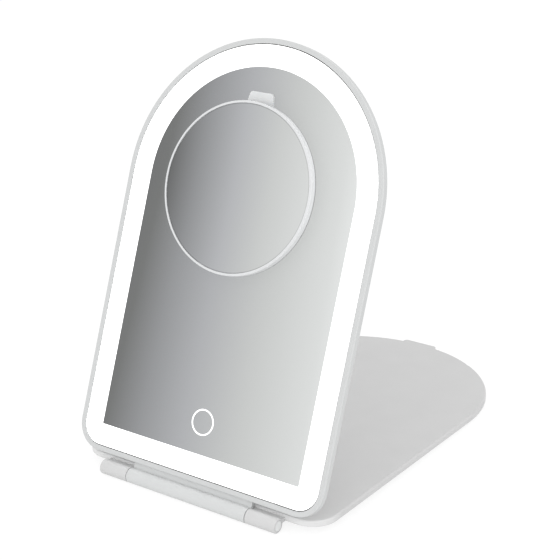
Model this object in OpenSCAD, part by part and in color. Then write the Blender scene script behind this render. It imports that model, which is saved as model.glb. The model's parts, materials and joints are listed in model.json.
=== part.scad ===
// Folding lighted vanity mirror: an arched mirror panel hinged at its foot to an arched
// cover that folds round behind it as a stand, with a magnifying mirror on a suction cup.
// Millimetres, +Z up, X across. The origin is on the table, at the middle of the footprint.

/* [Mirror] */
// Width of the mirror
mirror_w = 123.6; // [110:0.2:150]
// Height of the mirror's straight sides, below its half-round top
mirror_side_h = 134.8; // [110:0.2:160]
// Thickness of the mirror's glass
glass_t = 1.8; // [1.2:0.1:2]
// Thickness of the adhesive sheet behind the glass
adhesive_t = 0.2; // [0.1:0.05:0.3]

/* [Light band] */
// Width of the frosted light band all round the mirror
light_w = 11.1; // [9:0.1:15]
// Gap between the light band and the bezel, closed at its bottom by a dark seal
light_gap = 0.6; // [0.25:0.05:0.7]
// Thickness of the light band's diffuser
diffuser_t = 1.8; // [1.4:0.1:2]
// Spacing of the light-emitting diodes along the band
led_pitch = 14; // [9:0.5:24]
// Thickness of the lamp strip
strip_t = 0.2; // [0.15:0.05:0.3]

/* [Touch switch] */
// Outer diameter of the ring that marks the touch switch
ring_d = 13.4; // [10:0.2:18]
// Width of the ring's line
ring_line = 0.7; // [0.5:0.1:2]
// Height of the ring's centre above the mirror's lower edge
ring_y = 16.3; // [12:0.1:24]
// Depth of the ring in the glass
ring_depth = 0.3; // [0.1:0.05:0.5]

/* [Panel frame] */
// Thickness of the panel at its side
panel_t = 4.5; // [4.3:0.1:6]
// Width of the bezel's front face
bezel_w = 2.6; // [2.2:0.1:4]
// Thickness of the bezel's side wall
bezel_wall = 1.6; // [1.3:0.1:1.9]
// How far the bezel stands in front of the glass
bezel_proud = 0.2; // [0:0.05:0.3]
// Thickness of the bezel's front lip
lip_t = 1.0; // [0.6:0.1:1.2]
// Outer radius of the panel's two lower corners
corner_r = 14.2; // [13.6:0.1:17]
// Rounding of the panel's rear edge
edge_r = 1.0; // [0.4:0.1:1.2]

/* [Rear cover] */
// Thickness of the rear cover at its edge
cover_t = 1.2; // [1:0.1:1.4]
// Depth of the hump that holds the battery
hump_depth = 7.6; // [7.4:0.1:10]
// Distance from the panel's outline to the hump
hump_inset = 14; // [13:0.5:20]
// Wall of the hump
hump_wall = 1.3; // [1:0.1:1.8]
// Rounding of the hump's edge
hump_edge_r = 1.5; // [0.8:0.1:1.5]
// Radius of the hump's lower corners
hump_corner_r = 10; // [9:0.5:16]
// Gap between the rear cover and the bezel's wall
cover_gap = 0.15; // [0.1:0.05:0.3]
// Height of the snap bead round the cover
bead_h = 0.35; // [0.2:0.05:0.4]

/* [Electronics] */
// Width of the battery cell
battery_w = 50; // [40:1:60]
// Height of the battery cell
battery_h = 70; // [50:1:80]
// Thickness of the battery cell
battery_t = 5.8; // [4:0.1:6.4]
// Thickness of the tape under the battery cell
tape_t = 0.2; // [0.1:0.05:0.3]
// Length of the circuit board
board_l = 44; // [36:1:46]
// Width of the circuit board
board_w = 24; // [20:1:28]
// Thickness of the circuit boards
board_t = 0.8; // [0.6:0.1:0.9]
// Length of the charging socket
socket_l = 7.3; // [6.5:0.1:8]
// Width of the charging socket
socket_w = 8.9; // [8.9:0.1:9.1]
// Height of the charging socket
socket_h = 3.2; // [3:0.1:3.3]

/* [Hinge] */
// Diameter of the hinge's barrel
barrel_d = 7.8; // [7:0.1:9]
// Length of the barrel's middle knuckle
barrel_l = 74.7; // [60:0.1:90]
// Length of each end knuckle
knuckle_l = 17.6; // [14:0.1:22]
// Gap between knuckles
knuckle_gap = 0.4; // [0.2:0.05:0.8]
// Diameter of the hinge pins
pin_d = 3; // [2.5:0.1:3.2]
// Radial running clearance of a pin in its bush
pin_fit = 0.04; // [0.02:0.01:0.08]
// Wall of a friction bush
bush_wall = 1.0; // [0.7:0.1:1.2]
// Length of a friction bush
bush_l = 13; // [8:0.5:18]
// Distance from the hinge's axis to the panel's lower edge
panel_rise = 6.9; // [6.7:0.1:9]
// How far the mirror's face lies behind the hinge's axis
face_set = 0.4; // [0:0.1:0.6]
// Thickness of the flange between the barrel and the panel
flange_t = 2.0; // [1.6:0.1:2.2]

/* [Base] */
// Thickness of the base
base_t = 3.5; // [3.2:0.1:4]
// Height of the base's underside above the hinge's axis
base_rise = 0.4; // [0.3:0.1:1.5]
// Distance from the hinge's axis to the base's front edge
base_front = 5.6; // [5.4:0.1:6.2]
// Height of the base's straight sides
base_side_l = 153.2; // [130:0.2:180]
// Radius of the base's two front corners
base_corner_r = 14.2; // [10:0.1:20]
// Rounding of the base's upper edge
base_edge_r = 1.2; // [0.6:0.1:1.4]
// Width of the solid rim round the base
base_rim = 6; // [4:0.5:9]
// Thickness of the base's top skin
skin_t = 1.2; // [1:0.1:1.4]
// Thickness of the steel plate in the base
plate_t = 0.9; // [0.6:0.1:1]
// Width of the finger lip at the base's far end
lip_w = 22; // [16:1:30]
// How far the finger lip stands out
lip_reach = 2.3; // [1.5:0.1:4]
// Diameter of a rear foot
foot_d = 10; // [8:0.5:14]
// Height of a rear foot
foot_h = 0.6; // [0.5:0.1:1.6]
// Distance of each rear foot from the middle
foot_x = 40; // [25:1:50]

/* [Magnifier] */
// Diameter of the magnifying mirror's housing
mag_d = 86.7; // [70:0.1:96]
// Thickness of the housing
mag_t = 4.9; // [4.9:0.1:7]
// Distance from the mirror's face to the housing
mag_gap = 6.7; // [6.2:0.1:10]
// Width of the rim's front face
rim_w = 1.2; // [1:0.1:3]
// How deep the glass lies in the rim
rim_step = 0.3; // [0.1:0.05:0.4]
// Radius of curvature of the magnifying mirror
mag_curve_r = 520; // [500:10:1500]
// Thickness of the magnifying mirror
mag_glass_t = 1.5; // [1:0.1:1.5]
// Diameter of the suction cup
cup_d = 54; // [44:1:60]
// Width of the release tab at the housing's rim
tab_w = 15.6; // [10:0.2:20]
// How far the release tab stands out past the housing
tab_reach = 5.2; // [3:0.1:6]
// Thickness of the release tab
tab_t = 1.2; // [0.8:0.1:1.6]
// Distance from the mirror's face to the middle of the release tab
tab_z = 4.3; // [3.4:0.1:5]

/* [Stance] */
// Angle that the panel leans back from the vertical
panel_lean = 20.3; // [10:0.1:22]

/* [Hidden] */
$fn = 96;

// A small overshoot, so that cuts pass right through
eps = 0.5;
// A gap between pieces that don't move against each other
slack = 0.05;

// Panel outline, measured from the panel's lower edge and the mirror's face
mirror_inset = light_w + light_gap + bezel_w;
panel_hw = mirror_w / 2 + mirror_inset;
arch_y = mirror_side_h + mirror_inset;
diffuser_inset = bezel_w + light_gap;
touch_y = mirror_inset + ring_y;

// Depths, negative behind the mirror's face
back_z = bezel_proud - panel_t;
flange_top_z = bezel_proud - lip_t - slack;
plate_back_z = back_z + cover_t;
hump_z = back_z - hump_depth;
hump_floor_z = hump_z + hump_wall;
adhesive_z = -glass_t - adhesive_t;
socket_drop = 3.8;
socket_z = back_z - socket_drop;
board_z = socket_z + socket_h / 2;

// Hump outline and the cavity in it
cavity_inset = hump_inset + hump_wall;
cavity_corner_r = hump_corner_r - hump_wall;
cavity_hw = panel_hw - cavity_inset;
hump_band = 8;

// Carrier plate behind the glass
carrier_lap = 0.5;
carrier_inset = mirror_inset - carrier_lap;
strip_inset = bezel_wall + 2.4;
strip_end_inset = carrier_inset - 0.3;
touch_pad_d = ring_d + 0.8;
touch_hole_d = touch_pad_d + 0.4;

// Circuit board in the hump's lower left corner, as seen from the front
board_x = -cavity_hw + 0.6;
board_y = cavity_inset + 5;
board_gap = 16;
post_d = 4;
peg_d = 1.8;
peg_inset = 3.5;
peg_x = [peg_inset + 6, board_l - peg_inset - 10.5];
socket_x = -panel_hw + hump_inset + 0.2;
socket_y = board_y + board_w / 2;
tail_w = 6;
tail_x = board_x + 3;
tail_y = board_y + board_w - tail_w;
plug_size = [6, 4.5, 2.4];
plug_x = board_x + board_l - plug_size.x - 4;

// Battery beyond the board, its left edge in line with the plug on the board
battery_x = plug_x;
battery_y = board_y + board_w + board_gap;
battery_z = hump_floor_z + tape_t;

// Screws that hold the rear cover to the carrier plate
screw_x = cavity_hw - 14;
screw_y = [battery_y + 2, arch_y + 10];
screw_d = 2;
head_d = 3.8;
head_h = 1.3;
head_sink = 1.5;
seat_z = hump_z + head_sink + head_h;
pillar_d = 7;
boss_d = 4.4;
boss_h = 1.6;
pillar_top_z = plate_back_z - boss_h;

// Hinge and stance
barrel_r = barrel_d / 2;
bush_d = pin_d + 2 * (pin_fit + bush_wall);
knuckle_x = barrel_l / 2 + knuckle_gap;
hinge_end_x = knuckle_x + knuckle_l;
flange_z = -1.0;
cap_d = barrel_d - 2.2;
cap_t = 1.2;
cap_groove = 0.25;
pin_end_x = hinge_end_x - cap_t - 1;
foot_y = base_front + base_side_l + panel_hw * 0.75;
base_tilt = asin((barrel_r + base_rise - foot_h) / foot_y);
base_arch_y = base_front + base_side_l;
base_end_y = base_arch_y + panel_hw + lip_reach;
hinge_z = barrel_r;
rear_y = base_end_y * cos(base_tilt) + (base_rise + base_t / 2) * sin(base_tilt);
hinge_y = -(rear_y - barrel_r) / 2;

// Magnifier, measured from its own centre and the mirror's face
mag_r = mag_d / 2;
mag_floor_t = 1.2;
mag_floor_z = mag_gap + mag_floor_t;
mag_front_z = mag_gap + mag_t;
mag_well_r = mag_r - rim_w;
mag_edge_z = mag_front_z - rim_step;
stem_d = 14;
collar_d = stem_d + 5;
collar_h = 2.6;
collar_z = mag_gap - collar_h;

// Depth of a dish of the magnifier's curve at radius r, and the height of the glass's face there
function mag_sag(r) = mag_curve_r - sqrt(mag_curve_r * mag_curve_r - r * r);
function mag_face_z(r) = mag_edge_z - mag_sag(mag_well_r) + mag_sag(r);

// --- Places ---------------------------------------------------------------

// Origin on the hinge's axis, y back along the base, z out of its top
module at_base() {
    translate([0, hinge_y, hinge_z]) rotate([-base_tilt, 0, 0]) children();
}

// Origin on the hinge's axis, y up the panel, z out of the mirror's face
module at_hinge() {
    translate([0, hinge_y, hinge_z]) rotate([90 - panel_lean, 0, 0]) children();
}

// Origin at the middle of the panel's lower edge, on the mirror's face
module at_panel() {
    at_hinge() translate([0, panel_rise, -face_set]) children();
}

module at_magnifier() {
    at_panel() translate([0, arch_y, 0]) children();
}

// --- Shared shapes --------------------------------------------------------

// Arch with its foot on y = 0, round lower corners and a half-round top
module arch_2d(half_w, centre_y, corner) {
    translate([0, centre_y]) circle(half_w);
    translate([-half_w, corner]) square([2 * half_w, centre_y - corner]);
    if (corner > 0) {
        translate([corner - half_w, 0]) square([2 * (half_w - corner), 2 * corner]);
        for (side = [-1, 1]) translate([side * (half_w - corner), corner]) circle(corner);
    }
}

// Slab with the panel's outline, moved in by inset
module panel_slab(inset, corner, z_low, z_high) {
    translate([0, inset, z_low]) linear_extrude(z_high - z_low)
        arch_2d(panel_hw - inset, arch_y - inset, corner);
}

// A profile carried round an arch: profile x = 0 lies on the outline, negative inside
module arch_rim(half_w, centre_y, corner) {
    translate([0, centre_y, 0]) rotate_extrude(angle = 180) translate([half_w, 0]) children();
    for (side = [0, 1]) mirror([side, 0, 0]) {
        translate([half_w, centre_y, 0]) rotate([90, 0, 0])
            linear_extrude(centre_y - corner) children();
        translate([half_w - corner, corner, 0]) rotate([0, 0, -90])
            rotate_extrude(angle = 90) translate([corner, 0]) children();
    }
    translate([half_w - corner, 0, 0]) rotate([90, 0, -90])
        linear_extrude(2 * (half_w - corner)) children();
}

// Section with its outer side on x = 0, its two outer edges rounded
module rounded_section(width, low, high, r_low, r_high) {
    r_wide = max(r_low, r_high);
    intersection() {
        translate([-width, low]) square([width, high - low]);
        union() {
            translate([-width, low]) square([width - r_wide, high - low]);
            translate([-width, low + r_low]) square([width, high - low - r_low - r_high]);
            for (end = [[low, r_low, 1], [high, r_high, -1]]) if (end[1] > 0) {
                translate([-end[1], end[0] + end[2] * end[1]]) circle(end[1]);
                translate([-width, end[0] - end[1]]) square([width - end[1], 2 * end[1]]);
            }
        }
    }
}

// Rectangle with round ends, centred
module pill_2d(w, h) {
    square([w - h, h], center = true);
    for (side = [-1, 1]) translate([side * (w - h) / 2, 0]) circle(h / 2);
}

module across(x0, length, d) {
    translate([x0, 0, 0]) rotate([0, 90, 0]) cylinder(d = d, h = length);
}

// --- Base -----------------------------------------------------------------

// Solid of the base's outline, moved in by inset, between two heights over its underside
module base_slab(inset, z_low, z_high) {
    translate([0, base_front + inset, base_rise + z_low]) linear_extrude(z_high - z_low)
        arch_2d(panel_hw - inset, base_side_l - inset, max(base_corner_r - inset, 1));
}

// End knuckle along X, with its outer edge rounded
module knuckle() {
    round_r = 0.8;
    rotate([0, 90, 0]) rotate_extrude() {
        square([barrel_r, knuckle_l - round_r]);
        square([barrel_r - round_r, knuckle_l]);
        translate([barrel_r - round_r, knuckle_l - round_r]) circle(round_r);
    }
}

// Shallow tray turned over, with two end knuckles on low necks and a lip for a finger
module base_shell() {
    low_r = 0.6;
    neck_drop = 1.5;
    neck_t = barrel_r - base_rise - neck_drop;
    lip_r = 2;
    lip_low = 0.4;
    color("gainsboro") at_base() {
        difference() {
            union() {
                translate([0, base_front, base_rise]) arch_rim(panel_hw, base_side_l, base_corner_r)
                    rounded_section(base_rim, 0, base_t, low_r, base_edge_r);
                base_slab(base_rim / 2, 0, base_t);
                for (side = [0, 1]) mirror([side, 0, 0]) {
                    translate([knuckle_x, 0, 0]) knuckle();
                    translate([knuckle_x, 0, base_rise])
                        cube([knuckle_l, base_front + base_rim / 2, neck_t]);
                }
                translate([0, base_end_y, base_rise + lip_low])
                    linear_extrude(base_t - 2 * lip_low) {
                        translate([-lip_w / 2 + lip_r, -lip_reach - lip_r])
                            square([lip_w - 2 * lip_r, lip_reach + lip_r]);
                        translate([-lip_w / 2, -lip_reach - lip_r]) square([lip_w, lip_reach]);
                        for (side = [-1, 1]) translate([side * (lip_w / 2 - lip_r), -lip_r])
                            circle(lip_r);
                    }
            }
            base_slab(base_rim, -eps, base_t - skin_t);
            for (side = [0, 1]) mirror([side, 0, 0]) {
                across(knuckle_x - eps, pin_end_x - knuckle_x + eps, pin_d);
                across(hinge_end_x - cap_t, cap_t + eps, cap_d);
            }
        }
    }
}

module steel_plate() {
    fit = 0.3;
    color("silver") at_base()
        base_slab(base_rim + fit, base_t - skin_t - plate_t, base_t - skin_t);
}

module base_liner() {
    fit = 0.15;
    color("whitesmoke") at_base()
        base_slab(base_rim + fit, slack, base_t - skin_t - plate_t);
}

// Pads under the base's far end, cut level with the table
module rear_feet() {
    color("dimgray") difference() {
        at_base() for (side = [-1, 1]) translate([side * foot_x, foot_y, base_rise - 2 * foot_h])
            cylinder(d = foot_d, h = 2 * foot_h);
        translate([-panel_hw, 0, -foot_d]) cube([2 * panel_hw, base_end_y, foot_d]);
    }
}

module hinge_pins() {
    pin_x = barrel_l / 2 - bush_l;
    color("silver") at_base() for (side = [0, 1]) mirror([side, 0, 0])
        across(pin_x, pin_end_x - slack - pin_x, pin_d);
}

module hinge_caps() {
    color("whitesmoke") at_base() for (side = [0, 1]) mirror([side, 0, 0])
        difference() {
            across(hinge_end_x - cap_t, cap_t, cap_d);
            translate([hinge_end_x - cap_groove, 0, 0]) rotate([0, 90, 0]) difference() {
                cylinder(d = cap_d + eps, h = cap_t);
                translate([0, 0, -eps]) cylinder(d = cap_d - 2 * cap_groove, h = cap_t + 2 * eps);
            }
        }
}

// --- Panel ----------------------------------------------------------------

module bezel_section() {
    front_r = 0.5;
    groove_z = back_z + cover_t / 2;
    difference() {
        union() {
            rounded_section(bezel_wall, back_z, bezel_proud, edge_r, front_r);
            translate([-bezel_w, bezel_proud - lip_t]) square([bezel_w - front_r, lip_t]);
        }
        translate([-bezel_wall - eps, groove_z - bead_h])
            square([bead_h + slack + eps, 2 * bead_h]);
    }
}

module front_bezel() {
    flange_root = 0.8;
    color("gainsboro") {
        at_panel() arch_rim(panel_hw, arch_y, corner_r) bezel_section();
        at_hinge() difference() {
            union() {
                across(-barrel_l / 2, barrel_l, barrel_d);
                translate([-barrel_l / 2, 0, flange_z - face_set - flange_t])
                    cube([barrel_l, panel_rise + flange_root, flange_t]);
            }
            for (side = [0, 1]) mirror([side, 0, 0])
                across(barrel_l / 2 - bush_l - eps, bush_l + 2 * eps, bush_d);
        }
    }
}

module hinge_bushes() {
    color("goldenrod") at_hinge() for (side = [0, 1]) mirror([side, 0, 0])
        difference() {
            across(barrel_l / 2 - bush_l, bush_l, bush_d);
            across(barrel_l / 2 - bush_l - eps, bush_l + 2 * eps, pin_d + 2 * pin_fit);
        }
}

module light_diffuser() {
    edge_inset = bezel_wall + 2 * slack;
    color("white") at_panel() difference() {
        union() {
            panel_slab(diffuser_inset, corner_r - diffuser_inset, -diffuser_t, 0);
            panel_slab(edge_inset, corner_r - edge_inset, -diffuser_t, flange_top_z);
        }
        panel_slab(mirror_inset, 0, -diffuser_t - eps, eps);
    }
}

// Dark strip at the bottom of the gap between the light band and the bezel
module light_seal() {
    seal_t = 0.25;
    color("black") at_panel() arch_rim(panel_hw, arch_y, corner_r)
        translate([slack - diffuser_inset, flange_top_z]) square([light_gap - 2 * slack, seal_t]);
}

// The switch's ring, sunk in the glass
module ring_solid(h) {
    translate([0, touch_y, -ring_depth]) linear_extrude(h) difference() {
        circle(d = ring_d);
        circle(d = ring_d - 2 * ring_line);
    }
}

module mirror_glass() {
    color("lightsteelblue") at_panel() difference() {
        panel_slab(mirror_inset + slack, 0, -glass_t, 0);
        ring_solid(ring_depth + eps);
    }
}

module touch_ring() {
    color("white") at_panel() ring_solid(ring_depth);
}

module glass_adhesive() {
    margin = 1;
    color("ivory") at_panel() difference() {
        panel_slab(mirror_inset + margin, 0, adhesive_z, -glass_t);
        translate([0, touch_y, adhesive_z - eps]) cylinder(d = touch_hole_d, h = adhesive_t + 2 * eps);
    }
}

module at_screws() {
    for (x = [-screw_x, screw_x], y = screw_y) translate([x, y, 0]) children();
}

// Plate behind the glass, with bosses that take the screws and a notch for the lamp strip's tail
module chassis_plate() {
    tail_fit = 1;
    cut_h = adhesive_z - plate_back_z + 2 * eps;
    color("lightgray") at_panel() difference() {
        union() {
            panel_slab(carrier_inset, 0, plate_back_z, adhesive_z);
            at_screws() translate([0, 0, pillar_top_z])
                cylinder(d = boss_d, h = adhesive_z - pillar_top_z);
        }
        translate([0, touch_y, plate_back_z - eps]) cylinder(d = touch_hole_d, h = cut_h);
        translate([-panel_hw, tail_y - tail_fit, plate_back_z - eps])
            cube([panel_hw + tail_x + tail_fit, tail_w + 2 * tail_fit, cut_h]);
        at_screws() translate([0, 0, pillar_top_z - eps])
            cylinder(d = screw_d + 2 * slack, h = adhesive_z - pillar_top_z);
    }
}

// Flat lamp strip behind the light band, with a tail that runs in to the circuit board
module lamp_strip() {
    strip_z = plate_back_z + strip_t;
    end_x = -panel_hw + strip_end_inset - eps;
    board_front_z = board_z + board_t;
    color("white") at_panel() {
        difference() {
            panel_slab(strip_inset, corner_r - strip_inset, plate_back_z, strip_z);
            panel_slab(strip_end_inset, 1, plate_back_z - eps, strip_z + eps);
        }
        translate([end_x, tail_y, plate_back_z]) cube([tail_x - end_x, tail_w, strip_t]);
        translate([tail_x - strip_t, tail_y, board_front_z])
            cube([strip_t, tail_w, strip_z - board_front_z]);
    }
}

module lamp_chip() {
    size = [2.8, 3.5, 0.7];
    translate([-size.x / 2, -size.y / 2, plate_back_z + strip_t]) cube(size);
}

module lamp_chips() {
    lamp_inset = (strip_inset + strip_end_inset) / 2;
    lamp_hw = panel_hw - lamp_inset;
    side_l = arch_y - lamp_inset;
    side_n = floor(side_l / led_pitch);
    arch_n = floor(PI * lamp_hw / led_pitch);
    foot_n = floor(2 * lamp_hw / led_pitch);
    color("khaki") at_panel() {
        for (side = [-1, 1], i = [1 : side_n])
            translate([side * lamp_hw, arch_y - (i - 0.5) * side_l / side_n, 0]) lamp_chip();
        for (i = [0 : arch_n - 1])
            translate([0, arch_y, 0]) rotate([0, 0, (i + 0.5) * 180 / arch_n])
                translate([lamp_hw, 0, 0]) lamp_chip();
        for (i = [1 : foot_n - 1])
            translate([(i - foot_n / 2) * 2 * lamp_hw / foot_n, lamp_inset, 0])
                rotate([0, 0, 90]) lamp_chip();
    }
}

module touch_board() {
    color("seagreen") at_panel() translate([0, touch_y, -glass_t - board_t])
        cylinder(d = touch_pad_d, h = board_t);
}

// Flat cable from the touch board down to the circuit board
module touch_ribbon() {
    ribbon_w = 4;
    ribbon_t = 0.2;
    lap = 3;
    start_x = lap - touch_pad_d / 2;
    end_x = board_x + board_l - lap;
    ribbon_z = board_z + board_t;
    color("orange") at_panel() translate([0, touch_y - ribbon_w / 2, ribbon_z]) {
        translate([end_x, 0, 0]) cube([start_x - end_x, ribbon_w, ribbon_t]);
        translate([start_x - ribbon_t, 0, 0])
            cube([ribbon_t, ribbon_w, -glass_t - board_t - ribbon_z]);
    }
}

module at_board() {
    at_panel() translate([board_x, board_y, board_z]) children();
}

module board_pegs(d, h) {
    for (x = peg_x, y = [peg_inset, board_w - peg_inset])
        translate([x, y, 0]) cylinder(d = d, h = h);
}

module main_board() {
    color("darkgreen") at_board() difference() {
        cube([board_l, board_w, board_t]);
        translate([0, 0, -eps]) board_pegs(peg_d + 2 * slack, board_t + 2 * eps);
    }
}

// Each chip's corner on the board, and its size
module board_chips() {
    chips = [
        [[16, 9], [5, 5, 0.9]], [[25, 7], [4, 4, 0.9]], [[16, 17], [4.5, 4.5, 2]],
        [[33, 14], [3, 1.6, 0.8]], [[26, 14], [3, 1.6, 0.8]]
    ];
    color("dimgray") at_board() for (chip = chips)
        translate([chip[0].x, chip[0].y, board_t]) cube(chip[1]);
}

// Origin in the charging socket's mouth, z into the housing
module at_socket() {
    at_panel() translate([socket_x, socket_y, socket_z]) rotate([90, 0, 90]) children();
}

module usb_socket() {
    shell_t = 0.3;
    back_t = 1.5;
    tongue = [socket_w - 3, 0.7];
    tongue_set = 1;
    color("silver") at_socket() difference() {
        linear_extrude(socket_l) pill_2d(socket_w, socket_h);
        translate([0, 0, -eps]) linear_extrude(socket_l - back_t + eps) difference() {
            pill_2d(socket_w - 2 * shell_t, socket_h - 2 * shell_t);
            square(tongue, center = true);
        }
        translate([0, 0, -eps]) linear_extrude(tongue_set + eps)
            square([tongue.x, 2 * tongue.y], center = true);
    }
}

// Block with the battery's outline, moved in by inset
module battery_block(inset, z_low, z_high) {
    translate([battery_x + inset, battery_y + inset, z_low])
        cube([battery_w - 2 * inset, battery_h - 2 * inset, z_high - z_low]);
}

module battery_cell() {
    color("lightgray") at_panel() battery_block(0, battery_z, battery_z + battery_t);
}

module battery_tape() {
    color("black") at_panel() battery_block(4, hump_floor_z, battery_z);
}

module battery_foam() {
    color("gray") at_panel() battery_block(6, battery_z + battery_t, plate_back_z);
}

module battery_plug() {
    color("ivory") at_panel()
        translate([plug_x, board_y + board_w - plug_size.y, board_z - plug_size.z]) cube(plug_size);
}

module battery_leads() {
    lead_d = 1.1;
    pitch = 2;
    start_y = board_y + board_w;
    color("crimson") at_panel() for (side = [-1, 1])
        translate([plug_x + (plug_size.x + side * pitch) / 2, start_y, board_z - plug_size.z / 2])
            rotate([-90, 0, 0]) cylinder(d = lead_d, h = battery_y - start_y);
}

module rear_cover() {
    edge_inset = bezel_wall + cover_gap;
    bead_z = back_z + cover_t / 2 - bead_h + slack;
    head_fit = 0.4;
    socket_fit = 0.3;
    floor_inset = hump_inset + hump_band / 2;
    color("whitesmoke") at_panel() difference() {
        union() {
            panel_slab(edge_inset, corner_r - edge_inset, back_z, plate_back_z);
            translate([0, edge_inset, 0])
                arch_rim(panel_hw - edge_inset, arch_y - edge_inset, corner_r - edge_inset)
                    translate([-eps, bead_z]) square([bead_h + eps, 2 * (bead_h - slack)]);
            translate([0, hump_inset, 0])
                arch_rim(panel_hw - hump_inset, arch_y - hump_inset, hump_corner_r)
                    rounded_section(hump_band, hump_z, back_z + slack, hump_edge_r, 0);
            panel_slab(floor_inset, hump_inset + hump_corner_r - floor_inset, hump_z, back_z + slack);
        }
        difference() {
            panel_slab(cavity_inset, cavity_corner_r, hump_floor_z, plate_back_z + eps);
            at_screws() translate([0, 0, hump_z])
                cylinder(d = pillar_d, h = pillar_top_z - slack - hump_z);
            translate([board_x, board_y, hump_z]) {
                board_pegs(post_d, board_z - hump_z);
                board_pegs(peg_d, board_z + board_t - hump_z);
            }
        }
        at_screws() translate([0, 0, hump_z - eps]) {
            cylinder(d = head_d + head_fit, h = seat_z - hump_z + eps);
            cylinder(d = screw_d + 4 * slack, h = pillar_top_z - hump_z + 2 * eps);
        }
        translate([-panel_hw, socket_y, socket_z]) rotate([90, 0, 90])
            linear_extrude(cavity_inset + eps)
                pill_2d(socket_w + socket_fit, socket_h + socket_fit);
    }
}

// Screws with a cross recess in the head
module rear_screws() {
    tip_gap = 1.2;
    recess = [2.2, 0.5, 0.3];
    color("silver") at_panel() at_screws() translate([0, 0, seat_z]) {
        cylinder(d = screw_d, h = adhesive_z - tip_gap - seat_z);
        translate([0, 0, -head_h]) difference() {
            cylinder(d = head_d, h = head_h);
            for (turn = [0, 90]) rotate([0, 0, turn])
                cube([recess.x, recess.y, 2 * recess.z], center = true);
        }
    }
}

// --- Magnifier ------------------------------------------------------------

// Round dish with a raised rim, and a collar behind it for the suction cup's stem
module magnifier_housing() {
    rim_depth = 3;
    rear_r = 0.8;
    front_r = 0.5;
    color("white") at_magnifier() difference() {
        union() {
            rotate_extrude() translate([mag_r, 0])
                rounded_section(rim_w + rim_depth, mag_gap, mag_front_z, rear_r, front_r);
            translate([0, 0, mag_gap]) cylinder(r = mag_well_r, h = mag_floor_t);
            translate([0, 0, collar_z]) cylinder(d = collar_d, h = collar_h + slack);
        }
        translate([0, 0, mag_floor_z]) cylinder(r = mag_well_r, h = mag_t);
        translate([0, 0, collar_z - eps]) cylinder(d = stem_d + 2 * slack, h = collar_h + eps);
    }
}

// Concave glass of even thickness
module magnifier_mirror() {
    glass_r = mag_well_r - 2 * slack;
    steps = 12;
    color("lightsteelblue") at_magnifier() rotate_extrude() polygon([
        for (i = [0 : steps]) [glass_r * i / steps, mag_face_z(glass_r * i / steps)],
        for (i = [steps : -1 : 0])
            [glass_r * i / steps, mag_face_z(glass_r * i / steps) - mag_glass_t]
    ]);
}

// Foam ring under the edge of the magnifying glass
module magnifier_tape() {
    outer_r = mag_well_r - 0.3;
    inner_r = outer_r - 3;
    h = mag_face_z(inner_r) - mag_glass_t - mag_floor_z - slack;
    color("ivory") at_magnifier() translate([0, 0, mag_floor_z]) difference() {
        cylinder(r = outer_r, h = h);
        translate([0, 0, -eps]) cylinder(r = inner_r, h = h + 2 * eps);
    }
}

// Release tab seen from the front: a strip that narrows a little to a tip with round corners
module tab_plan(tab_top) {
    taper = 0.7;
    tip_r = 2;
    tip_y = tab_top - tip_r;
    tip_hw = tab_w / 2 - taper;
    translate([-tab_w / 2, 0]) square([tab_w, mag_r]);
    polygon([[-tab_w / 2, mag_r - 1], [tab_w / 2, mag_r - 1], [tip_hw, tip_y], [-tip_hw, tip_y]]);
    translate([tip_r - tip_hw, mag_r]) square([2 * (tip_hw - tip_r), tab_reach]);
    for (side = [-1, 1]) translate([side * (tip_hw - tip_r), tip_y]) circle(tip_r);
}

// Cup with a stem in the housing's collar, and a tab that rises from its lip to the rim
module suction_cup() {
    cup_r = cup_d / 2;
    stem_r = stem_d / 2;
    edge_t = 1;
    seal_w = 4;
    hollow_r = cup_r - seal_w - 6;
    hollow_z = 0.8;
    crown_z = collar_z - 0.4;
    root_y = cup_r - 3;
    ramp_y = cup_r + 8;
    tab_top = mag_r + tab_reach;
    tab_low = tab_z - tab_t / 2;
    tab_high = tab_z + tab_t / 2;
    color("white") at_magnifier() {
        rotate_extrude() polygon([
            [0, hollow_z], [hollow_r, hollow_z], [cup_r - seal_w, 0], [cup_r, 0], [cup_r, edge_t],
            [stem_r + 3, crown_z], [stem_r, crown_z], [stem_r, mag_gap], [0, mag_gap]
        ]);
        intersection() {
            translate([0, 0, -eps]) linear_extrude(mag_gap) tab_plan(tab_top);
            translate([-tab_w / 2, 0, 0]) rotate([90, 0, 90]) linear_extrude(tab_w) polygon([
                [root_y, slack], [cup_r, slack], [ramp_y, tab_low], [tab_top, tab_low],
                [tab_top, tab_high], [ramp_y, tab_high], [root_y, edge_t]
            ]);
        }
    }
}

base_shell();
steel_plate();
base_liner();
rear_feet();
hinge_pins();
hinge_caps();
front_bezel();
hinge_bushes();
light_diffuser();
light_seal();
mirror_glass();
touch_ring();
glass_adhesive();
chassis_plate();
lamp_strip();
lamp_chips();
touch_board();
touch_ribbon();
main_board();
board_chips();
usb_socket();
battery_cell();
battery_tape();
battery_foam();
battery_plug();
battery_leads();
rear_cover();
rear_screws();
magnifier_housing();
magnifier_mirror();
magnifier_tape();
suction_cup();
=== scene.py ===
"""Looks of a folding lighted vanity mirror: materials, light, floor and camera."""

import json
import math

import bmesh
import bpy
from mathutils import Matrix, Vector


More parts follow.
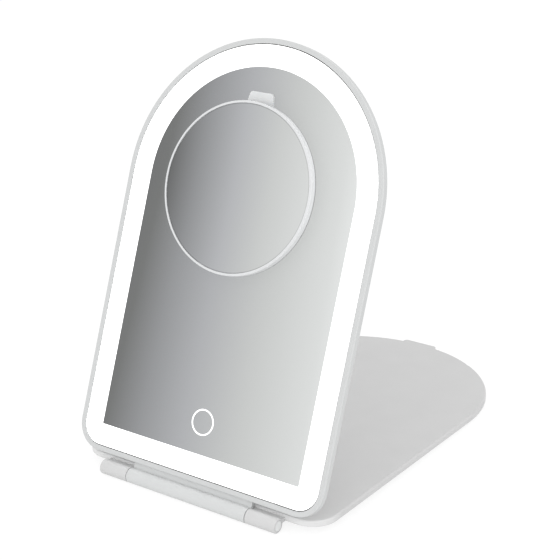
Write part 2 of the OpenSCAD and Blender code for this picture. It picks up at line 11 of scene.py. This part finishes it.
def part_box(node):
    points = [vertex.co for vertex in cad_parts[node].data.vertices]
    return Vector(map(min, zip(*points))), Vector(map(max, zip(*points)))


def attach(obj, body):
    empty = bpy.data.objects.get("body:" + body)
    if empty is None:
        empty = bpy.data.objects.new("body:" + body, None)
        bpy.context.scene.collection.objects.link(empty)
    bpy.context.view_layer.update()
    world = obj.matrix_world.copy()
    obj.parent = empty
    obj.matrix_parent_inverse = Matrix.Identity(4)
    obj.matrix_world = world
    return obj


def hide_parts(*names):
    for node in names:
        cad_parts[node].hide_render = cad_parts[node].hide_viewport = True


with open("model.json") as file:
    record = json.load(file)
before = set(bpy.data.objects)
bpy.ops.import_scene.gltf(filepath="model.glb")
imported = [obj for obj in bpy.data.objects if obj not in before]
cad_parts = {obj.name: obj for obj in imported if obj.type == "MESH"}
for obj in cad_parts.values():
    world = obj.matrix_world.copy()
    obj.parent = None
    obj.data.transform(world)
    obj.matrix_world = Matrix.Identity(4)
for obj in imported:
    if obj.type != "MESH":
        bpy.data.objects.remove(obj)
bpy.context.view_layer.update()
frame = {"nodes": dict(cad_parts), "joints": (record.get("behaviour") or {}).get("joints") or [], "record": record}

MM = 0.001
NODES = frame["nodes"]
BODIES = frame["record"]["behaviour"]["bodies"]
JOINTS = {joint["name"]: joint for joint in frame["joints"]}
HINGE = Vector(JOINTS["panel_hinge"]["pos_m"])
# Directions out of the mirror's face, up the panel, out of the base's top and to the front
FACE_OUT = Vector(JOINTS["magnifier_lift"]["axis"]).normalized()
PANEL_UP = Vector((0, FACE_OUT.z, -FACE_OUT.y))
BASE_UP = Vector((0, 0.01714, 0.99985))
FRONT = Vector((0, -1, 0))


# --- Camera ---------------------------------------------------------------

# The photograph's viewpoint from the middle of the hinge, in metres, and the picture's directions
CAMERA_FROM_HINGE = Vector((0.41755, -0.52342, 0.36768))
CAMERA_RIGHT = Vector((0.82347, 0.56735, -0.00144))
CAMERA_DOWN = Vector((0.19930, -0.29164, -0.93554))
CAMERA_FORWARD = Vector((-0.53120, 0.77010, -0.35323))
CAMERA_LENS = 96.43
SENSOR = 36.0


def make_camera():
    data = bpy.data.cameras.new("camera")
    data.lens = CAMERA_LENS
    data.sensor_width = SENSOR
    data.clip_start = 0.02
    data.clip_end = 20.0
    camera = bpy.data.objects.new("camera", data)
    turn = Matrix((CAMERA_RIGHT, -CAMERA_DOWN, -CAMERA_FORWARD)).transposed()
    camera.matrix_world = Matrix.Translation(HINGE + CAMERA_FROM_HINGE) @ turn.to_4x4()
    bpy.context.scene.collection.objects.link(camera)
    bpy.context.scene.camera = camera


# --- Shader helpers -------------------------------------------------------

class Shader:
    """A material's node tree, with short calls to add and join nodes."""

    def __init__(self, name):
        self.material = bpy.data.materials.new(name)
        self.material.use_nodes = True
        self.tree = self.material.node_tree
        self.main = self.tree.nodes["Principled BSDF"]
        self.place = self.add("ShaderNodeTexCoord").outputs["Object"]

    def add(self, kind, **settings):
        node = self.tree.nodes.new(kind)
        for key, value in settings.items():
            setattr(node, key, value)
        return node

    def join(self, source, target):
        self.tree.links.new(source, target)

    def set(self, **values):
        """Sets sockets of the main shader, such as Roughness or Coat_Weight."""
        for key, value in values.items():
            self.main.inputs[key.replace("_", " ")].default_value = value

    def noise(self, size, detail=3.0, stretch=(1, 1, 1)):
        """Noise with features of about that size, in metres."""
        scaled = self.add("ShaderNodeMapping")
        scaled.inputs["Scale"].default_value = stretch
        self.join(self.place, scaled.inputs["Vector"])
        node = self.add("ShaderNodeTexNoise")
        node.inputs["Scale"].default_value = 1 / size
        node.inputs["Detail"].default_value = detail
        self.join(scaled.outputs["Vector"], node.inputs["Vector"])
        return node.outputs["Fac"]

    def ramp(self, factor, stops):
        """A colour ramp of (place, colour) stops."""
        node = self.add("ShaderNodeValToRGB")
        points = node.color_ramp.elements
        while len(points) < len(stops):
            points.new(0.5)
        for point, (at, colour) in zip(points, stops):
            point.position = at
            point.color = (*colour, 1)
        self.join(factor, node.inputs["Fac"])
        return node.outputs["Color"]

    def span(self, factor, low, high, from_low=0.3, from_high=0.7):
        """Maps a factor to a range of values."""
        node = self.add("ShaderNodeMapRange")
        node.inputs["From Min"].default_value = from_low
        node.inputs["From Max"].default_value = from_high
        node.inputs["To Min"].default_value = low
        node.inputs["To Max"].default_value = high
        self.join(factor, node.inputs["Value"])
        return node.outputs["Result"]

    def along(self, axis, low, high):
        """0 to 1 from the low to the high distance along an axis, in metres."""
        node = self.add("ShaderNodeVectorMath", operation="DOT_PRODUCT")
        node.inputs[1].default_value = axis
        self.join(self.place, node.inputs[0])
        return self.span(node.outputs["Value"], 0, 1, low, high)

    def tint(self, axis, start, stops, limits=None):
        """Multiplies the base colour by greys at distances from the start along an axis, in mm.

        The limits, an axis and two distances along it, fade the tint in from the first to the second.
        """
        low, high = stops[0][0], stops[-1][0]
        steps = [((at - low) / (high - low), (grey, grey, grey)) for at, grey in stops]
        place = self.along(axis, start + low * MM, start + high * MM)
        self.multiply(self.ramp(place, steps), self.along(*limits) if limits else None)

    def darken_edge(self, centre, axis, inner, outer, grey):
        """Darkens the base colour to a grey from the inner to the outer radius round an axis."""
        offset = self.add("ShaderNodeVectorMath", operation="SUBTRACT")
        offset.inputs[1].default_value = centre
        self.join(self.place, offset.inputs[0])
        cross = self.add("ShaderNodeVectorMath", operation="CROSS_PRODUCT")
        cross.inputs[1].default_value = axis
        self.join(offset.outputs["Vector"], cross.inputs[0])
        radius = self.add("ShaderNodeVectorMath", operation="LENGTH")
        self.join(cross.outputs["Vector"], radius.inputs[0])
        share = self.span(radius.outputs["Value"], 0, 1, inner, outer)
        self.multiply(self.ramp(share, [(0.0, (1, 1, 1)), (1.0, (grey, grey, grey))]))

    def multiply(self, factor, mask=None):
        """Multiplies the base colour by another, where the mask is 1."""
        colour = self.main.inputs["Base Color"]
        mix = self.add("ShaderNodeMix", data_type="RGBA", blend_type="MULTIPLY")
        mix.inputs["Factor"].default_value = 1.0
        if mask:
            self.join(mask, mix.inputs["Factor"])
        self.join(colour.links[0].from_socket, mix.inputs["A"])
        self.join(factor, mix.inputs["B"])
        self.join(mix.outputs["Result"], colour)

    def bump(self, height, depth):
        """Bump of that depth, in metres."""
        node = self.add("ShaderNodeBump")
        node.inputs["Distance"].default_value = depth
        self.join(height, node.inputs["Height"])
        self.join(node.outputs["Normal"], self.main.inputs["Normal"])


def shade(colour, factor):
    return tuple(min(1.0, c * factor) for c in colour)


def speckled(shader, colour, size, spread):
    """Base colour that drifts a little round one tone."""
    tones = [(0.3, shade(colour, 1 - spread)), (0.7, shade(colour, 1 + spread))]
    shader.join(shader.ramp(shader.noise(size), tones), shader.main.inputs["Base Color"])


# --- Materials ------------------------------------------------------------

def moulded(name, colour, roughness=0.42, grain=0.35 * MM, depth=0.008 * MM, tint=None):
    """Moulded plastic: a fine spark-eroded grain, and roughness that drifts over centimetres."""
    s = Shader(name)
    speckled(s, colour, 18 * MM, 0.012)
    s.join(s.span(s.noise(25 * MM), roughness - 0.03, roughness + 0.03), s.main.inputs["Roughness"])
    s.bump(s.noise(grain, 2.0), depth)
    s.set(IOR=1.46)
    if tint:
        s.tint(*tint)
    return s.material


def lit(name):
    """A frosted white window lit from behind."""
    s = Shader(name)
    white = (1.0, 1.0, 1.0)
    tones = [(0.3, shade(white, 0.99)), (0.7, white)]
    tint = s.ramp(s.noise(6 * MM), tones)
    s.join(tint, s.main.inputs["Base Color"])
    s.join(tint, s.main.inputs["Emission Color"])
    s.set(Emission_Strength=1.0, Roughness=0.55)
    s.bump(s.noise(0.25 * MM, 2.0), 0.006 * MM)
    return s.material


def mirror(name, half_width, tones, haze, low=0.0, high=1.0, stretch=1.0, edge=None):
    """Silvered glass whose base colour holds a painted reflection of a studio's falloff along X, with a share of
    haze that takes shadows.

    The painted falloff is stretched from the low to the high distance up the panel.
    """
    s = Shader(name)
    axes = s.add("ShaderNodeSeparateXYZ")
    s.join(s.place, axes.inputs["Vector"])
    wider = s.add("ShaderNodeMath", operation="MULTIPLY")
    s.join(axes.outputs["X"], wider.inputs[0])
    s.join(s.span(s.along(PANEL_UP, low, high), 1, stretch, 0, 1), wider.inputs[1])
    reach = half_width * MIRROR_REACH
    stops = [(0.5 + at / 2 / MIRROR_REACH, (grey * MIRROR_RED, grey, grey * blue))
             for at, grey, blue in tones]
    across = s.span(wider.outputs[0], 0, 1, -reach, reach)
    s.join(s.ramp(across, stops), s.main.inputs["Base Color"])
    s.join(s.span(s.noise(30 * MM), 0.02, 0.05), s.main.inputs["Roughness"])
    s.set(Metallic=1 - haze, Specular_IOR_Level=0.2)
    if edge:
        s.darken_edge(*edge)
    return s.material


def rubber(name, colour, roughness=0.7):
    s = Shader(name)
    speckled(s, colour, 4 * MM, 0.06)
    s.bump(s.noise(0.2 * MM, 3.0), 0.015 * MM)
    s.set(Roughness=roughness)
    return s.material


def silicone(name, colour):
    """Milky soft rubber with a satin skin."""
    s = Shader(name)
    speckled(s, colour, 9 * MM, 0.01)
    s.bump(s.noise(0.6 * MM, 2.0), 0.004 * MM)
    s.set(Roughness=0.36, IOR=1.41, Subsurface_Weight=0.25, Subsurface_Scale=1.5 * MM)
    s.main.inputs["Subsurface Radius"].default_value = (1.0, 0.95, 0.9)
    return s.material


def steel(name, colour, roughness=0.3, stretch=(1, 40, 40)):
    """Drawn or turned steel, with fine lines along X."""
    s = Shader(name)
    speckled(s, colour, 3 * MM, 0.04)
    lines = s.noise(4 * MM, 4.0, stretch)
    s.join(s.span(lines, roughness - 0.08, roughness + 0.08), s.main.inputs["Roughness"])
    s.bump(lines, 0.004 * MM)
    s.set(Metallic=1.0)
    return s.material


def circuit(name, colour, copper):
    """Solder mask with fine copper tracks showing through."""
    s = Shader(name)
    tracks = s.add("ShaderNodeTexVoronoi", feature="DISTANCE_TO_EDGE", distance="MANHATTAN")
    tracks.inputs["Scale"].default_value = 1 / (1.6 * MM)
    s.join(s.place, tracks.inputs["Vector"])
    stops = [(0.04, copper), (0.08, colour)]
    s.join(s.ramp(tracks.outputs["Distance"], stops), s.main.inputs["Base Color"])
    s.bump(tracks.outputs["Distance"], 0.02 * MM)
    s.set(Roughness=0.35)
    return s.material


def foam(name, colour):
    s = Shader(name)
    cells = s.add("ShaderNodeTexVoronoi")
    cells.inputs["Scale"].default_value = 1 / (0.5 * MM)
    s.join(s.place, cells.inputs["Vector"])
    stops = [(0.0, shade(colour, 0.6)), (0.6, colour)]
    s.join(s.ramp(cells.outputs["Distance"], stops), s.main.inputs["Base Color"])
    s.bump(cells.outputs["Distance"], 0.15 * MM)
    s.set(Roughness=0.95)
    return s.material


# How far the tones reach in half widths, and their share of red
MIRROR_REACH = 1.2
MIRROR_RED = 0.98
# How much wider the main mirror's painted falloff is at a height above the hinge
FALLOFF_STRETCH = 1.22
FALLOFF_HEIGHT = 220 * MM
# Painted reflection of the studio's falloff across the two mirrors: place from -1 at the left edge to 1 at the
# right, grey and share of blue
MAIN_PAINTED_FALLOFF = [(-1.2, 0.175, 1.0), (-1.0, 0.19, 0.99), (-0.64, 0.31, 1.03), (-0.2, 0.436, 1.03),
              (0.38, 0.582, 0.99), (1.0, 0.715, 0.99), (1.2, 0.80, 0.99)]
MAGNIFIER_PAINTED_FALLOFF = [(-1.0, 0.15, 1.0), (-0.6, 0.295, 1.03), (-0.06, 0.470, 1.03), (0.47, 0.60, 0.99),
                   (1.0, 0.70, 0.99)]


def dress(node, material):
    mesh = NODES[node].data
    mesh.materials.clear()
    mesh.materials.append(material)


def make_materials():
    glass_low, glass_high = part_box("mirror_glass")
    lens_low, lens_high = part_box("magnifier_mirror")
    glass_hw = (glass_high.x - glass_low.x) / 2
    lens_hw = (lens_high.x - lens_low.x) / 2
    face = max(FACE_OUT.dot(v.co) for v in NODES["mirror_glass"].data.vertices)
    hinge_up = PANEL_UP.dot(HINGE)
    base_up = BASE_UP.dot(HINGE)
    # Painted highlight along the bezel's outer edge, and painted shade on its front face and side, faded in above
    # the barrel
    bezel_painted_light = (FACE_OUT, face, [(-0.7, 0.95), (-0.4, 1.04), (0.0, 1.04), (0.16, 0.95), (0.4, 0.95)],
                  (PANEL_UP, hinge_up + 4.5 * MM, hinge_up + 6 * MM))
    # Painted shade on the magnifier's housing towards its rear edge, standing in for its contact shadow on the
    # mirror, and the housing is a little darker at its front rim
    housing_painted_shade = (FACE_OUT, face, [(6.72, 0.95), (6.85, 0.25), (7.7, 0.35), (8.2, 1.0),
                                     (11.2, 1.0), (11.55, 0.93)])
    # Painted highlight on the side of the base near its front edge, below the top face
    base_painted_highlight = (FRONT, FRONT.dot(HINGE), [(-24.65, 1.0), (-12.65, 1.2), (-5.75, 1.2), (-5.25, 1.0)],
                 (BASE_UP, base_up + 3.85 * MM, base_up + 3.6 * MM))
    # Painted shade round the edge of the magnifier's glass, where it meets the housing's rim
    lens_painted_shade = ((lens_low + lens_high) / 2, FACE_OUT, lens_hw - 0.6 * MM, lens_hw - 0.1 * MM, 0.65)
    looks = {
        moulded("base_white", (0.65, 0.65, 0.65), 0.5, tint=base_painted_highlight): ["base_shell"],
        moulded("liner_white", (0.66, 0.66, 0.66), 0.5): ["base_liner"],
        moulded("cap_white", (0.84, 0.85, 0.85), 0.4): ["hinge_caps"],
        moulded("bezel_white", (0.66, 0.67, 0.67), 0.4, tint=bezel_painted_light): ["front_bezel"],
        moulded("cover_white", (0.70, 0.70, 0.70), 0.45, 0.5 * MM, 0.02 * MM): ["rear_cover"],
        moulded("magnifier_white", (0.79, 0.80, 0.81), 0.25, depth=0.003 * MM, tint=housing_painted_shade):
            ["magnifier_housing"],
        moulded("chassis_grey", (0.5, 0.51, 0.52)): ["chassis_plate"],
        moulded("strip_white", (0.8, 0.8, 0.77), 0.35): ["lamp_strip"],
        moulded("lamp_yellow", (0.8, 0.68, 0.2), 0.3): ["lamp_chips"],
        moulded("chip_black", (0.02, 0.02, 0.022), 0.4): ["board_chips"],
        moulded("plug_ivory", (0.78, 0.74, 0.6)): ["battery_plug"],
        moulded("lead_red", (0.45, 0.015, 0.015), 0.35): ["battery_leads"],
        lit("diffuser_white"): ["light_diffuser"],
        lit("ring_white"): ["touch_ring"],
        mirror("mirror_main", glass_hw, MAIN_PAINTED_FALLOFF, 0.15, hinge_up, hinge_up + FALLOFF_HEIGHT,
               FALLOFF_STRETCH): ["mirror_glass"],
        mirror("mirror_magnifier", lens_hw, MAGNIFIER_PAINTED_FALLOFF, 0.1, edge=lens_painted_shade):
            ["magnifier_mirror"],
        rubber("seal_black", (0.012, 0.012, 0.012), 0.6): ["light_seal"],
        rubber("foot_rubber", (0.06, 0.06, 0.063)): ["rear_feet"],
        rubber("tape_black", (0.02, 0.02, 0.02), 0.5): ["battery_tape"],
        rubber("adhesive_clear", (0.7, 0.66, 0.52), 0.4): ["glass_adhesive"],
        silicone("cup_silicone", (0.77, 0.78, 0.785)): ["suction_cup"],
        steel("plate_steel", (0.5, 0.51, 0.53), 0.4): ["steel_plate"],
        steel("pin_steel", (0.6, 0.6, 0.61), 0.2): ["hinge_pins"],
        steel("screw_steel", (0.55, 0.55, 0.57)): ["rear_screws"],
        steel("socket_steel", (0.55, 0.55, 0.56), 0.25): ["usb_socket"],
        steel("cell_foil", (0.6, 0.61, 0.63), 0.45, (8, 8, 8)): ["battery_cell"],
        steel("bush_bronze", (0.62, 0.36, 0.14), 0.35): ["hinge_bushes"],
        circuit("board_green", (0.01, 0.09, 0.035), (0.03, 0.2, 0.08)): ["main_board", "touch_board"],
        circuit("ribbon_amber", (0.5, 0.2, 0.03), (0.7, 0.4, 0.12)): ["touch_ribbon"],
        foam("foam_grey", (0.3, 0.3, 0.31)): ["battery_foam", "magnifier_tape"],
    }
    for material, nodes in looks.items():
        for node in nodes:
            dress(node, material)


# --- The magnifying glass -------------------------------------------------

LENS_T = 1.5 * MM
LENS_CHAMFER = 0.15 * MM
LENS_RINGS = 24
LENS_SPOKES = 144
# Points closer than the weld are joined, and edges sharper than the crease stay sharp
LENS_WELD = 0.001 * MM
LENS_CREASE = math.radians(25)


def make_lens():
    """The magnifier's glass as one smooth dish with a ground edge, over the extent of its solid.

    As in the photograph, the mirror behind shows the magnifier's shadow but no hard reflection of it.
    """
    solid = NODES["magnifier_mirror"].data
    low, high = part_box("magnifier_mirror")
    centre = (low + high) / 2
    radius = (high.x - low.x) / 2
    axis = Vector(JOINTS["magnifier_lift"]["axis"]).normalized()
    heights = [axis.dot(v.co) for v in solid.vertices]
    top = max(heights)
    dish = top - min(heights) - LENS_T
    curve_r = (radius * radius + dish * dish) / (2 * dish)

    def face(r):
        return top - dish + curve_r - math.sqrt(curve_r * curve_r - r * r)

    rings = [(radius - LENS_CHAMFER) * i / LENS_RINGS for i in range(LENS_RINGS + 1)]
    profile = [(r, face(r)) for r in rings]
    profile += [(radius, face(radius) - LENS_CHAMFER), (radius, face(radius) - LENS_T)]
    profile += [(r, face(r) - LENS_T) for r in reversed(rings)]

    mesh = bmesh.new()
    foot = centre - axis * axis.dot(centre)
    points = [mesh.verts.new(foot + axis * height + Vector((r, 0, 0))) for r, height in profile]
    edges = [mesh.edges.new(pair) for pair in zip(points, points[1:])]
    bmesh.ops.spin(mesh, geom=points + edges, cent=foot, axis=axis, angle=2 * math.pi,
                   steps=LENS_SPOKES, use_merge=True)
    bmesh.ops.remove_doubles(mesh, verts=mesh.verts, dist=LENS_WELD)
    bmesh.ops.recalc_face_normals(mesh, faces=mesh.faces)
    for polygon in mesh.faces:
        polygon.smooth = True
    for edge in mesh.edges:
        edge.smooth = edge.calc_face_angle(0) < LENS_CREASE
    data = bpy.data.meshes.new("magnifier_glass")
    mesh.to_mesh(data)
    mesh.free()
    data.materials.append(solid.materials[0])
    lens = bpy.data.objects.new("magnifier_glass", data)
    bpy.context.scene.collection.objects.link(lens)
    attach(lens, "magnifier")
    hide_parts("magnifier_mirror")
    for piece in [lens] + [NODES[node] for node in BODIES["magnifier"]]:
        piece.visible_glossy = False


# --- Floor, background and light ------------------------------------------

FLOOR_SIZE = 6.0
# The floor's grey, its own glow where it is seen directly, and the share that takes shadows
FLOOR_GREY = 0.9
FLOOR_GLOW = 1.08
SHADOW_SHARE = 0.2
# The world's strength as a light; seen directly it is white
SKY = 0.86
LAMP_AIM = Vector((0, 0, 0.08))


def seen_directly(tree):
    """1 for rays that come from the camera, a reflection or a refraction."""
    path = tree.nodes.new("ShaderNodeLightPath")
    total = path.outputs["Is Camera Ray"]
    for name in ("Is Glossy Ray", "Is Transmission Ray"):
        both = tree.nodes.new("ShaderNodeMath")
        both.operation = "MAXIMUM"
        tree.links.new(total, both.inputs[0])
        tree.links.new(path.outputs[name], both.inputs[1])
        total = both.outputs[0]
    return total


def make_floor():
    """White floor that keeps a faint shadow of the object."""
    bpy.ops.mesh.primitive_plane_add(size=FLOOR_SIZE)
    floor = bpy.context.object
    floor.name = "floor"
    material = bpy.data.materials.new("floor_white")
    material.use_nodes = True
    tree = material.node_tree
    tree.nodes.clear()
    paper = tree.nodes.new("ShaderNodeBsdfDiffuse")
    paper.inputs["Color"].default_value = (FLOOR_GREY, FLOOR_GREY, FLOOR_GREY, 1)
    glow = tree.nodes.new("ShaderNodeEmission")
    glow.inputs["Strength"].default_value = FLOOR_GLOW
    share = tree.nodes.new("ShaderNodeMath")
    share.operation = "MULTIPLY"
    share.inputs[1].default_value = 1 - SHADOW_SHARE
    tree.links.new(seen_directly(tree), share.inputs[0])
    mix = tree.nodes.new("ShaderNodeMixShader")
    tree.links.new(share.outputs[0], mix.inputs["Fac"])
    tree.links.new(paper.outputs["BSDF"], mix.inputs[1])
    tree.links.new(glow.outputs["Emission"], mix.inputs[2])
    output = tree.nodes.new("ShaderNodeOutputMaterial")
    tree.links.new(mix.outputs["Shader"], output.inputs["Surface"])
    floor.data.materials.append(material)


def make_world():
    world = bpy.data.worlds.new("studio")
    world.use_nodes = True
    tree = world.node_tree
    sky = tree.nodes["Background"]
    sky.inputs["Color"].default_value = (1, 1, 1, 1)
    level = tree.nodes.new("ShaderNodeMapRange")
    level.inputs["To Min"].default_value = SKY
    level.inputs["To Max"].default_value = 1.0
    tree.links.new(seen_directly(tree), level.inputs["Value"])
    tree.links.new(level.outputs["Result"], sky.inputs["Strength"])
    bpy.context.scene.world = world


def make_lamp(name, at, size, power):
    """A square soft box that faces the object."""
    data = bpy.data.lights.new(name, "AREA")
    data.size = size
    data.energy = power
    lamp = bpy.data.objects.new(name, data)
    lamp.location = at
    lamp.rotation_euler = (LAMP_AIM - Vector(at)).to_track_quat("-Z", "Y").to_euler()
    bpy.context.scene.collection.objects.link(lamp)


def make_studio():
    make_floor()
    make_world()
    make_lamp("key", (0.1, -1.2, 0.7), 1.2, 4.0)
    make_lamp("side", (1.0, 0.4, 0.9), 1.0, 2.5)
    bpy.context.scene.view_settings.view_transform = "Standard"


make_camera()
make_materials()
make_lens()
make_studio()
